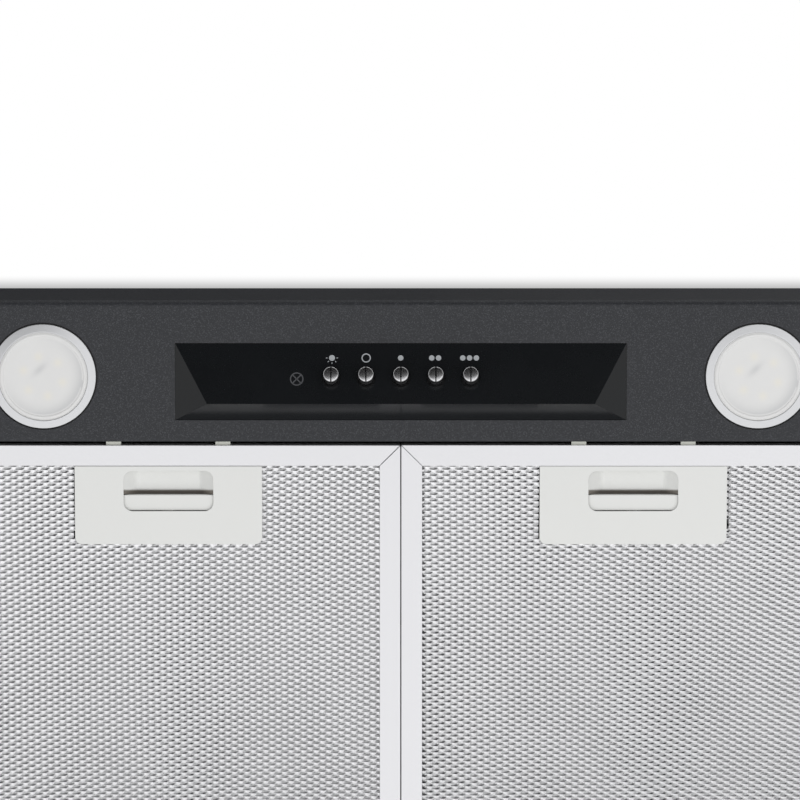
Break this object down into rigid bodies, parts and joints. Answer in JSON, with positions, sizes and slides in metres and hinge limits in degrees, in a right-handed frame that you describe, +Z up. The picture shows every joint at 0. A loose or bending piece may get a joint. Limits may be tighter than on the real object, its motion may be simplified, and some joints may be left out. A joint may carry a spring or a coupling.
{
  "type": "wall mount range hood",
  "caption": "Pyramid chimney range hood for a wall, with drop-down grease filters, round lamps and push buttons on a wedge-shaped fascia.",
  "frame": {"origin": "centre of the four wall screw holes, on the wall plane", "axes": "+X to the right for someone facing the wall, -Y to the front, +Z up"},
  "size_m": [0.5986, 0.4753, 0.6844],
  "materials": {
    "canopy_paint": "charcoal powder coat with a fine metallic sparkle",
    "galvanised": "plain galvanised sheet",
    "fastener": "bright zinc",
    "dark_fastener": "black zinc",
    "white_plastic": "moulded, light grey",
    "grey_plastic": "moulded, dark grey",
    "motor_case": "pressed steel",
    "fascia_gloss": "gloss black",
    "black_plastic": "moulded, black",
    "lamp_satin": "satin silver",
    "lens_frost": "frosted, off-white",
    "board_white": "white solder mask",
    "rail": "satin, near-white",
    "mesh": "bright expanded metal",
    "handle_plastic": "warm off-white",
    "tongue_plastic": "warm light grey",
    "button_steel": "fine brushed",
    "wire": "black insulation"
  },
  "bodies": {
    "hood": {"canopy_base": "canopy_paint", "canopy_pyramid": "canopy_paint", "back_panel": "galvanised", "top_plate": "galvanised", "wall_bracket_left": "galvanised", "wall_bracket_right": "galvanised", "canopy_rivets": "fastener", "chimney_lower": "canopy_paint", "chimney_screws": "dark_fastener", "blower_casing_left": "white_plastic", "blower_casing_right": "white_plastic", "inlet_guard": "galvanised", "motor": "motor_case", "motor_bracket": "galvanised", "capacitor": "white_plastic", "blower_screws": "dark_fastener", "outlet_collar": "white_plastic", "damper_pin": "fastener", "terminal_box": "black_plastic", "terminal_lid": "black_plastic", "cable_gland": "black_plastic", "wiring": "wire", "control_fascia": "fascia_gloss", "switch_block": "black_plastic", "fascia_fixings": "fastener", "lamp_ring_left": "lamp_satin", "lamp_lens_left": "lens_frost", "lamp_can_left": "lamp_satin", "lamp_board_left": "board_white", "lamp_nuts_left": "fastener", "lamp_ring_right": "lamp_satin", "lamp_lens_right": "lens_frost", "lamp_can_right": "lamp_satin", "lamp_board_right": "board_white", "lamp_nuts_right": "fastener"},
    "fan": {"impeller": "grey_plastic", "motor_shaft": "fastener"},
    "damper_flap_front": {"damper_flap_front": "grey_plastic"},
    "damper_flap_rear": {"damper_flap_rear": "grey_plastic"},
    "upper_cover": {"chimney_upper": "canopy_paint", "ceiling_bracket": "galvanised", "ceiling_screws": "dark_fastener"},
    "filter_left": {"filter_frame_left": "rail", "filter_mesh_left": "mesh", "filter_handle_left": "handle_plastic", "filter_tabs_left": "fastener", "latch_spring_left": "fastener"},
    "latch_left": {"latch_slider_left": "tongue_plastic"},
    "filter_right": {"filter_frame_right": "rail", "filter_mesh_right": "mesh", "filter_handle_right": "handle_plastic", "filter_tabs_right": "fastener", "latch_spring_right": "fastener"},
    "latch_right": {"latch_slider_right": "tongue_plastic"},
    "button_light": {"button_light": "button_steel"},
    "button_off": {"button_off": "button_steel"},
    "button_speed_1": {"button_speed_1": "button_steel"},
    "button_speed_2": {"button_speed_2": "button_steel"},
    "button_speed_3": {"button_speed_3": "button_steel"}
  },
  "joints": [
    {"name": "filter_left_drop", "type": "hinge", "parent": "hood", "child": "filter_left", "pos_m": [-0.13405, -0.084, -0.134], "axis": [1, 0, 0], "range_deg": [0, 60]},
    {"name": "latch_left_pull", "type": "slide", "parent": "filter_left", "child": "latch_left", "axis": [0, 1, 0], "range_m": [0, 0.007], "stiffness_N_per_m": 300, "springref_m": -0.002, "deforming": ["latch_spring_left"]},
    {"name": "filter_right_drop", "type": "hinge", "parent": "hood", "child": "filter_right", "pos_m": [0.13405, -0.084, -0.134], "axis": [1, 0, 0], "range_deg": [0, 60]},
    {"name": "latch_right_pull", "type": "slide", "parent": "filter_right", "child": "latch_right", "axis": [0, 1, 0], "range_m": [0, 0.007], "stiffness_N_per_m": 300, "springref_m": -0.002, "deforming": ["latch_spring_right"]},
    {"name": "button_light_press", "type": "slide", "parent": "hood", "child": "button_light", "axis": [0, 0.3665, 0.9304], "range_m": [0, 0.0035], "stiffness_N_per_m": 300, "springref_m": -0.002},
    {"name": "button_off_press", "type": "slide", "parent": "hood", "child": "button_off", "axis": [0, 0.3665, 0.9304], "range_m": [0, 0.0035], "stiffness_N_per_m": 300, "springref_m": -0.002},
    {"name": "button_speed_1_press", "type": "slide", "parent": "hood", "child": "button_speed_1", "axis": [0, 0.3665, 0.9304], "range_m": [0, 0.0035], "stiffness_N_per_m": 300, "springref_m": -0.002},
    {"name": "button_speed_2_press", "type": "slide", "parent": "hood", "child": "button_speed_2", "axis": [0, 0.3665, 0.9304], "range_m": [0, 0.0035], "stiffness_N_per_m": 300, "springref_m": -0.002},
    {"name": "button_speed_3_press", "type": "slide", "parent": "hood", "child": "button_speed_3", "axis": [0, 0.3665, 0.9304], "range_m": [0, 0.0035], "stiffness_N_per_m": 300, "springref_m": -0.002},
    {"name": "fan_spin", "type": "hinge", "parent": "hood", "child": "fan", "pos_m": [0, -0.1185, 0.209], "axis": [1, 0, 0], "continuous": true},
    {"name": "damper_front_swing", "type": "hinge", "parent": "hood", "child": "damper_flap_front", "pos_m": [0, -0.1185, 0.332], "axis": [-1, 0, 0], "range_deg": [0, 70]},
    {"name": "damper_rear_swing", "type": "hinge", "parent": "hood", "child": "damper_flap_rear", "pos_m": [0, -0.1185, 0.332], "axis": [1, 0, 0], "range_deg": [0, 70]},
    {"name": "upper_cover_slide", "type": "slide", "parent": "hood", "child": "upper_cover", "axis": [0, 0, 1], "range_m": [0, 0.3]}
  ]
}
